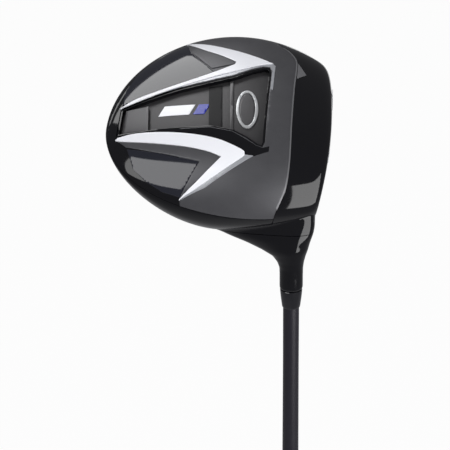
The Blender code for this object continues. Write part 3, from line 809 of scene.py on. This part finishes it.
# ------------------------------------------------------------------------------- Geometry Nodes
class NodeTool:
    """A Geometry Nodes tree that is built in the script and applied to one object."""

    def __init__(self, name: str, sizes: dict[str, float]) -> None:
        """Start a tree with named number inputs.

        Args:
            name: the tree's name.
            sizes: each input's name and value.
        """
        self.tree = bpy.data.node_groups.new(name, "GeometryNodeTree")
        self.tree.interface.new_socket("Geometry", in_out="INPUT", socket_type="NodeSocketGeometry")
        self.tree.interface.new_socket("Geometry", in_out="OUTPUT", socket_type="NodeSocketGeometry")
        self.sizes = sizes
        self.identifiers = {}
        for label in sizes:
            socket = self.tree.interface.new_socket(label, in_out="INPUT", socket_type="NodeSocketFloat")
            self.identifiers[label] = socket.identifier
        self.source = self.tree.nodes.new("NodeGroupInput")
        self.sink = self.tree.nodes.new("NodeGroupOutput")

    def node(self, kind: str, settings: dict[str, object] | None = None, **values: object) -> bpy.types.Node:
        """Add a node, with its settings first and then its sockets' values or links."""
        node = self.tree.nodes.new(kind)
        for key, value in (settings or {}).items():
            setattr(node, key, value)
        for key, value in values.items():
            socket = node.inputs[key.replace("_", " ")]
            if isinstance(value, bpy.types.NodeSocket):
                self.tree.links.new(value, socket)
            else:
                socket.default_value = value
        return node

    def size(self, label: str) -> bpy.types.NodeSocket:
        """The group input's socket for a named size."""
        return self.source.outputs[label]

    def finish(self, geometry: bpy.types.NodeSocket, material: bpy.types.Material, name: str) -> bpy.types.Object:
        """End the tree in Realize Instances and Set Material and turn its result into a plain mesh."""
        real = self.node("GeometryNodeRealizeInstances", Geometry=geometry)
        dyed = self.node("GeometryNodeSetMaterial", Geometry=real.outputs[0], Material=material)
        self.tree.links.new(dyed.outputs[0], self.sink.inputs[0])
        item = new_object(name, bpy.data.meshes.new(name))
        modifier = item.modifiers.new("nodes", "NODES")
        modifier.node_group = self.tree
        for label, value in self.sizes.items():
            modifier[self.identifiers[label]] = value
        return bake(item)


@dataclass
class ScoreLines:
    """The face's score lines: short raised paint strokes, repeated by Geometry Nodes."""

    form: HeadForm
    rows: int = 6
    pitch: float = 0.0045
    low: float = 0.013
    length: float = 0.014
    width: float = 0.0006

    def build(self) -> None:
        """Lay the strokes on both sides of the face's bare middle."""
        tool = NodeTool("score_lines", {"Rows": float(self.rows * 2), "Length": self.length, "Width": self.width,
                                        "Pitch": self.pitch})
        line = tool.node("GeometryNodeMeshLine", {"mode": "OFFSET"}, Count=self.rows,
                         Offset=(0.0, 0.0, self.pitch))
        bar = tool.node("GeometryNodeMeshGrid", Vertices_X=24, Vertices_Y=2)
        tool.tree.links.new(tool.size("Length"), bar.inputs["Size X"])
        tool.tree.links.new(tool.size("Width"), bar.inputs["Size Y"])
        stand = tool.node("GeometryNodeTransform", Geometry=bar.outputs["Mesh"])
        stand.inputs["Rotation"].default_value = (math.pi / 2, 0.0, math.pi / 2)
        rows = tool.node("GeometryNodeInstanceOnPoints", Points=line.outputs["Mesh"],
                         Instance=stand.outputs["Geometry"])
        item = tool.finish(rows.outputs["Instances"], SCORE_WHITE.build(), "score_lines")
        shape = bmesh.new()
        shape.from_mesh(item.data)
        middle, gap = -0.006, 0.010
        extra = bmesh.ops.duplicate(shape, geom=shape.verts[:] + shape.edges[:] + shape.faces[:])
        moved = {vertex for vertex in extra["geom"] if isinstance(vertex, bmesh.types.BMVert)}
        for vertex in shape.verts:
            side = 1 if vertex in moved else -1
            y = middle + side * (gap + self.length / 2) + vertex.co.y
            z = self.low + vertex.co.z
            vertex.co = (self.form.face_x(y, z) + 0.00004, y, z)
        swept = bmesh.ops.extrude_face_region(shape, geom=shape.faces[:])
        for vertex in swept["geom"]:
            if isinstance(vertex, bmesh.types.BMVert):
                vertex.co.x -= 0.0003
        bmesh.ops.recalc_face_normals(shape, faces=shape.faces)
        shape.to_mesh(item.data)
        shape.free()
        item.data.transform(self.form.to_world())
        dress(item, SCORE_WHITE.build())


@dataclass
class Grip:
    """The moulded rubber grip with rings of small raised diamonds."""

    low: float
    top: float
    radius_low: float
    radius_top: float
    rows: int = 46
    around: int = 14
    stud: float = 0.0013

    def radius(self, z: float) -> float:
        """Outer radius at a height."""
        share = (z - self.low) / (self.top - self.low)
        return self.radius_low + (self.radius_top - self.radius_low) * share ** 0.9

    def sleeve(self, steps: int = 96, rows: int = 60) -> bpy.types.Object:
        """The sleeve, rounded at its mouth and butt."""
        shape = bmesh.new()
        profile = []
        for row in range(rows + 1):
            z = self.low + (self.top - self.low) * row / rows
            round_off = 0.0012 * max(0.0, 1 - (self.top - z) / 0.004) ** 2
            profile.append((self.radius(z) - round_off - 0.0003, z))
        bore = 0.0060
        profile = [(bore, self.low)] + profile + [(bore, self.top)]
        loops = [[shape.verts.new((r * math.cos(math.tau * k / steps), r * math.sin(math.tau * k / steps), z))
                  for k in range(steps)] for r, z in profile]
        for lower, upper in zip(loops, loops[1:] + loops[:1]):
            for k in range(steps):
                after = (k + 1) % steps
                shape.faces.new((lower[k], lower[after], upper[after], upper[k]))
        bmesh.ops.recalc_face_normals(shape, faces=shape.faces)
        return from_bmesh("rubber_sleeve", shape)

    def studs(self) -> bpy.types.Object:
        """The raised diamonds, set out by Geometry Nodes on rows round the sleeve."""
        tool = NodeTool("grip_studs", {"Stud": self.stud, "Pitch": (self.top - self.low - 0.030) / self.rows})
        rows = tool.node("GeometryNodeMeshLine", {"mode": "OFFSET"}, Count=self.rows)
        step = tool.node("ShaderNodeCombineXYZ", Z=tool.size("Pitch"))
        tool.tree.links.new(step.outputs[0], rows.inputs["Offset"])
        ring = tool.node("GeometryNodeMeshCircle", Vertices=self.around, Radius=1.0)
        diamond = tool.node("GeometryNodeMeshCone", Vertices=4, Radius_Top=0.55, Radius_Bottom=1.0, Depth=0.6)
        index = tool.node("GeometryNodeInputIndex")
        odd = tool.node("ShaderNodeMath", {"operation": "MODULO"})
        tool.tree.links.new(index.outputs[0], odd.inputs[0])
        odd.inputs[1].default_value = 2.0
        half = tool.node("ShaderNodeMath", {"operation": "MULTIPLY"})
        tool.tree.links.new(odd.outputs[0], half.inputs[0])
        half.inputs[1].default_value = math.pi / self.around
        turn = tool.node("ShaderNodeCombineXYZ", Z=half.outputs[0])
        rings = tool.node("GeometryNodeInstanceOnPoints", Points=rows.outputs["Mesh"], Instance=ring.outputs["Mesh"],
                          Rotation=turn.outputs[0])
        real = tool.node("GeometryNodeRealizeInstances", Geometry=rings.outputs["Instances"])
        place = tool.node("GeometryNodeInputPosition")
        apart = tool.node("ShaderNodeSeparateXYZ", Vector=place.outputs[0])
        angle = tool.node("ShaderNodeMath", {"operation": "ARCTAN2"})
        tool.tree.links.new(apart.outputs["Y"], angle.inputs[0])
        tool.tree.links.new(apart.outputs["X"], angle.inputs[1])
        facing = tool.node("ShaderNodeCombineXYZ", Y=math.pi / 2, Z=angle.outputs[0])
        size = tool.node("ShaderNodeCombineXYZ", X=tool.size("Stud"), Y=tool.size("Stud"), Z=tool.size("Stud"))
        studs = tool.node("GeometryNodeInstanceOnPoints", Points=real.outputs[0], Instance=diamond.outputs["Mesh"],
                          Rotation=facing.outputs[0], Scale=size.outputs[0])
        item = tool.finish(studs.outputs["Instances"], GRIP_RUBBER.build(), "grip_studs")
        for vertex in item.data.vertices:
            x, y, z = vertex.co
            out = math.hypot(x, y)
            height = self.low + 0.010 + z
            radius = self.radius(min(max(height, self.low), self.top)) - 0.0003 + (out - 1.0) * 0.6
            angle = math.atan2(y, x)
            middle = round(angle / (math.pi / self.around)) * (math.pi / self.around)
            angle = middle + (angle - middle) / self.radius(height)
            vertex.co = (radius * math.cos(angle), radius * math.sin(angle), height)
        return item

    def build(self) -> None:
        """Make and dress the sleeve and its studs."""
        dress(self.sleeve(), GRIP_RUBBER.build(), ["grip_sleeve"])
        dress(self.studs(), GRIP_RUBBER.build(), sharp=20.0)


@dataclass
class Tubes:
    """The shaft and ferrule as fine turned pieces, taken over the CAD nodes' boxes."""

    tip_radius: float = 0.00425
    butt_radius: float = 0.00725
    parallel: float = 0.080
    grip_top: float = 0.240

    def turned(self, name: str, profile: Sequence[tuple[float, float]], steps: int = 96) -> bpy.types.Object:
        """A closed ring-shaped body through (radius, height) points."""
        shape = bmesh.new()
        loops = [[shape.verts.new((r * math.cos(math.tau * k / steps), r * math.sin(math.tau * k / steps), z))
                  for k in range(steps)] for r, z in profile]
        for lower, upper in zip(loops, loops[1:] + loops[:1]):
            for k in range(steps):
                after = (k + 1) % steps
                shape.faces.new((lower[k], lower[after], upper[after], upper[k]))
        bmesh.ops.recalc_face_normals(shape, faces=shape.faces)
        return from_bmesh(name, shape)

    def build(self) -> None:
        """Make and dress both."""
        low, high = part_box("shaft")
        tip, butt = high[2], low[2]
        start = tip - self.parallel
        outer = []
        for row in range(41):
            z = butt + (tip - butt) * row / 40
            share = min(max((start - z) / (start - self.grip_top * 0.3), 0.0), 1.0)
            outer.append((self.tip_radius + (self.butt_radius - self.tip_radius) * share, z))
        inner = [(radius - 0.0012, z) for radius, z in reversed(outer)]
        dress(self.turned("painted_shaft", outer + inner), SHAFT_PAINT.build(), ["shaft"])
        low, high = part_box("ferrule")
        top, end, wide = high[2], low[2], 0.00585
        profile = [(0.00455, top), (wide - 0.0002, top), (wide, top - 0.0003)]
        for row in range(1, 13):
            share = row / 12
            profile.append((wide - (wide - 0.00478) * share ** 1.3, top - 0.0003 - (top - end - 0.0006) * share))
        profile += [(0.00466, end), (0.00455, end)]
        dress(self.turned("ferrule_skin", profile), FERRULE_BLACK.build(), ["ferrule"])


# ------------------------------------------------------------------------------- studio
@dataclass
class Studio:
    """The camera, the softboxes and the pale floor."""

    form: HeadForm
    azimuth: float = 7.72
    elevation: float = 24.97
    roll: float = -0.91
    distance: float = 0.7924
    right: float = 0.0349
    down: float = 0.0438
    ferrule_end: float = 0.0902
    lens: float = 120.0

    def axes(self) -> tuple[Vector, Vector, Vector]:
        """The camera's right, up and backward directions."""
        azimuth, elevation, roll = (math.radians(a) for a in (self.azimuth, self.elevation, self.roll))
        back = Vector((math.sin(azimuth) * math.cos(elevation), -math.cos(azimuth) * math.cos(elevation),
                       math.sin(elevation)))
        right = Vector((math.cos(azimuth), math.sin(azimuth), 0.0))
        up = back.cross(right)
        return (right * math.cos(roll) + up * math.sin(roll), up * math.cos(roll) - right * math.sin(roll), back)

    def camera(self) -> None:
        """Place the camera so that the ferrule's end lies below and right of the middle."""
        right, up, back = self.axes()
        target = Vector((0, 0, self.form.club_length - self.ferrule_end))
        place = target - right * self.right + up * self.down + back * self.distance
        data = bpy.data.cameras.new("camera")
        data.lens = self.lens
        data.sensor_width = 36.0
        data.clip_start = 0.01
        camera = bpy.data.objects.new("camera", data)
        camera.matrix_world = Matrix.Translation(place) @ Matrix((right, up, back)).transposed().to_4x4()
        bpy.context.scene.collection.objects.link(camera)
        bpy.context.scene.camera = camera

    def softbox(self, name: str, offset: tuple[float, float, float], size: tuple[float, float],
                power: float) -> None:
        """An area lamp that faces the head.

        Args:
            name: the lamp's name.
            offset: its place from the head's middle, in metres.
            size: its width and height.
            power: its power in watts.
        """
        data = bpy.data.lights.new(name, "AREA")
        data.shape = "RECTANGLE"
        data.size, data.size_y = size
        data.energy = power
        lamp = bpy.data.objects.new(name, data)
        middle = self.form.to_world() @ Vector((-0.055, 0.0, 0.03))
        lamp.location = middle + Vector(offset)
        lamp.rotation_euler = (middle - lamp.location).to_track_quat("-Z", "Y").to_euler()
        bpy.context.scene.collection.objects.link(lamp)

    def floor(self) -> None:
        """A pale floor under the butt that shows white and keeps the club's shadow."""
        shape = bmesh.new()
        bmesh.ops.create_circle(shape, cap_ends=True, segments=96, radius=14.0)
        bmesh.ops.translate(shape, verts=shape.verts, vec=(0, 0, -0.0005))
        item = from_bmesh("floor", shape)
        shader = Shader("pale_floor")
        shader.set(Base_Color=(0.86, 0.86, 0.87, 1.0), Roughness=0.9)
        shader.surface.inputs["Specular IOR Level"].default_value = 0.1
        path = shader.node("ShaderNodeLightPath")
        mirrored = Expr(shader.tree, path.outputs["Is Glossy Ray"])
        mirrored = mirrored + Expr(shader.tree, path.outputs["Is Transmission Ray"])
        seen = (Expr(shader.tree, path.outputs["Is Camera Ray"]) + mirrored * 0.12).clamped()
        glow = shader.node("ShaderNodeEmission", Color=(1.0, 1.0, 1.0, 1.0), Strength=1.0)
        mix = shader.node("ShaderNodeMixShader", Fac=seen * 0.97)
        shader.tree.links.new(shader.surface.outputs[0], mix.inputs[1])
        shader.tree.links.new(glow.outputs[0], mix.inputs[2])
        output = next(node for node in shader.tree.nodes if node.type == "OUTPUT_MATERIAL")
        shader.tree.links.new(mix.outputs[0], output.inputs["Surface"])
        item.data.materials.append(shader.material)

    def world(self) -> None:
        """A surround that shows white behind the club and lights it dimly."""
        world = bpy.data.worlds.new("surround")
        world.use_nodes = True
        tree = world.node_tree
        light = tree.nodes["Background"]
        light.inputs["Color"].default_value = (0.13, 0.13, 0.14, 1.0)
        shown = tree.nodes.new("ShaderNodeBackground")
        path = tree.nodes.new("ShaderNodeLightPath")
        mix = tree.nodes.new("ShaderNodeMixShader")
        output = next(node for node in tree.nodes if node.type == "OUTPUT_WORLD")
        shown.inputs["Color"].default_value = (0.98, 0.98, 0.98, 1.0)
        glossy = Expr(tree, path.outputs["Is Glossy Ray"]) + Expr(tree, path.outputs["Is Transmission Ray"])
        seen = (Expr(tree, path.outputs["Is Camera Ray"]) + glossy * 0.12).clamped()
        tree.links.new(seen.socket, mix.inputs[0])
        tree.links.new(light.outputs[0], mix.inputs[1])
        tree.links.new(shown.outputs[0], mix.inputs[2])
        tree.links.new(mix.outputs[0], output.inputs["Surface"])
        bpy.context.scene.world = world

    def build(self) -> None:
        """Set up the whole studio."""
        self.camera()
        self.softbox("key_softbox", (0.72, -0.65, -0.08), (0.72, 0.85), 10.0)
        self.softbox("top_softbox", (-0.36, 0.31, 0.88), (0.50, 0.50), 3.6)
        self.softbox("left_softbox", (-0.52, -0.66, 0.50), (0.62, 0.60), 5.0)
        self.softbox("back_softbox", (0.45, 1.10, -0.15), (0.90, 0.60), 3.0)
        self.floor()
        self.world()
        bpy.context.scene.view_settings.view_transform = "Standard"


# ------------------------------------------------------------------------------- assembly
def toe_side(form: HeadForm) -> ChevronSide:
    """The toe side's chevron set."""
    white = ((-83.5, -57.0), (-72.5, -54.5), (-56.5, -48.5), (-41.5, -42.5), (-34.5, -39.3), (-40.5, -37.6),
             (-54.0, -31.6), (-71.5, -25.2), (-92.5, -17.8), (-113.5, -9.8), (-106.0, -14.7), (-93.0, -19.5),
             (-77.5, -25.2), (-64.5, -31.0), (-54.5, -36.8), (-54.0, -38.9), (-60.5, -43.0), (-72.5, -49.5))
    bevel = ((-98.0, -15.9), (-92.5, -17.9), (-71.5, -25.3), (-54.0, -31.7), (-40.5, -37.7), (-34.5, -39.4),
             (-33.2, -38.0), (-33.0, -20.0), (-34.3, -20.0), (-34.5, -34.0), (-36.0, -36.8), (-39.8, -36.7),
             (-45.0, -34.3), (-54.5, -28.8), (-67.5, -24.8), (-83.0, -20.7))
    facet = ((-82.5, -56.4), (-54.5, -39.2), (-54.5, -37.4), (-66.5, -34.0), (-79.0, -47.5))
    window = ((-82.8, -56.0), (-79.5, -47.3), (-67.0, -33.6), (-65.0, -30.9), (-77.7, -25.4), (-93.2, -19.7),
              (-106.2, -14.9), (-112.5, -12.0), (-112.0, -23.0), (-107.0, -35.0), (-100.0, -43.5), (-92.0, -50.5))
    return ChevronSide(form, "toe", white, (0, 4, 9, 14, 15), bevel, facet, window)


def heel_side(form: HeadForm) -> ChevronSide:
    """The heel side's chevron set."""
    white = ((-112.0, 9.6), (-102.5, 8.3), (-89.0, 8.8), (-73.0, 10.8), (-59.5, 13.6), (-50.5, 17.0),
             (-44.8, 19.7), (-44.0, 21.2), (-44.8, 22.8), (-52.0, 28.0), (-64.5, 36.0), (-76.5, 42.0),
             (-68.0, 35.5), (-61.0, 28.8), (-55.6, 23.3), (-62.5, 20.6), (-72.5, 18.2), (-88.5, 15.4),
             (-111.0, 11.6))
    bevel = ((-43.8, 21.6), (-39.5, 21.8), (-51.8, 30.2), (-63.2, 37.4), (-75.5, 41.8), (-64.5, 35.6),
             (-52.0, 27.6))
    facet = ((-111.0, 11.9), (-88.5, 15.7), (-72.5, 18.5), (-62.5, 20.9), (-55.9, 23.5), (-61.2, 29.0),
             (-68.2, 35.7), (-75.8, 41.4), (-72.0, 35.0), (-66.5, 25.5), (-77.0, 23.3), (-93.0, 19.3),
             (-106.5, 15.5))
    window = ((-106.0, 16.6), (-93.0, 19.5), (-77.2, 23.5), (-66.9, 25.7), (-72.2, 35.0), (-76.0, 41.0),
              (-85.5, 38.5), (-94.0, 34.0), (-101.5, 27.5))
    return ChevronSide(form, "heel", white, (0, 11, 14), bevel, facet, window)


def shadow_and_highlight_marks(form: HeadForm) -> None:
    """The painted shadow strip between the channel and the heel chevron, a gloss black sheet, and the painted
    highlight on a corner of the cup, a grey sheet.
    """
    strip = ((-111.5, 8.3), (-94.5, 7.4), (-79.0, 7.3), (-63.0, 6.8), (-51.0, 9.3), (-38.5, 16.3),
             (-35.0, 17.2), (-31.8, 16.0), (-32.0, 18.8), (-39.0, 21.8), (-43.4, 22.4), (-43.8, 21.0),
             (-50.3, 16.8), (-59.4, 13.4), (-73.0, 10.6), (-89.0, 8.6), (-102.5, 8.2), (-111.5, 9.3))
    corner = ((-21.7, -43.6), (-16.8, -35.2), (-21.4, -31.0))
    for name, outline, proud, finish, slot in (
            # painted shadow: a gloss black sheet for the shade between the channel and the heel chevron
            ("lacquer_strip", strip, 0.0001, GLOSS_BLACK, "gloss_black"),
            # painted highlight: a grey sheet where light glints on the cup's corner
            ("cup_corner", corner, 0.0001, RIM_HIGHLIGHT, "bright_metal")):
        item = form.layer(name, outline, proud, 0.0008, 0.0012)
        item.data.transform(form.to_world())
        dress(item, finish.build())


def dress_hidden_nodes() -> None:
    """Give the CAD nodes that stay their finishes."""
    finishes = {"shaft_tip_plug": INNER_METAL, "rear_weight_slug": INNER_METAL, "grip_tape": TAPE_PAPER,
                "grip_end_cap": CAP_RUBBER}
    for name, finish in finishes.items():
        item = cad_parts[name]
        item = bpy.data.objects[item] if isinstance(item, str) else item
        item.data.materials.clear()
        item.data.materials.append(finish.build())


def main() -> None:
    """Build the club and the studio."""
    logging.basicConfig(level=logging.INFO, format="%(name)s %(message)s")
    form = HeadForm()
    channel = ChannelParts(form)
    shells = HeadShells(form, trench=channel.outline)
    shells.build()
    channel.build()
    toe_side(form).build()
    heel_side(form).build()
    shadow_and_highlight_marks(form)
    path = shells.edge_path()
    PanelRimHighlight(form, path[len(path) // 8:-len(path) // 8]).build()
    Hosel(form).build()
    ScoreLines(form).build()
    Tubes().build()
    low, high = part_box("grip_sleeve")
    Grip(low[2], high[2], high[0] - 0.0001, 0.0086).build()
    dress_hidden_nodes()
    Studio(form).build()


if __name__ == "__main__":
    main()
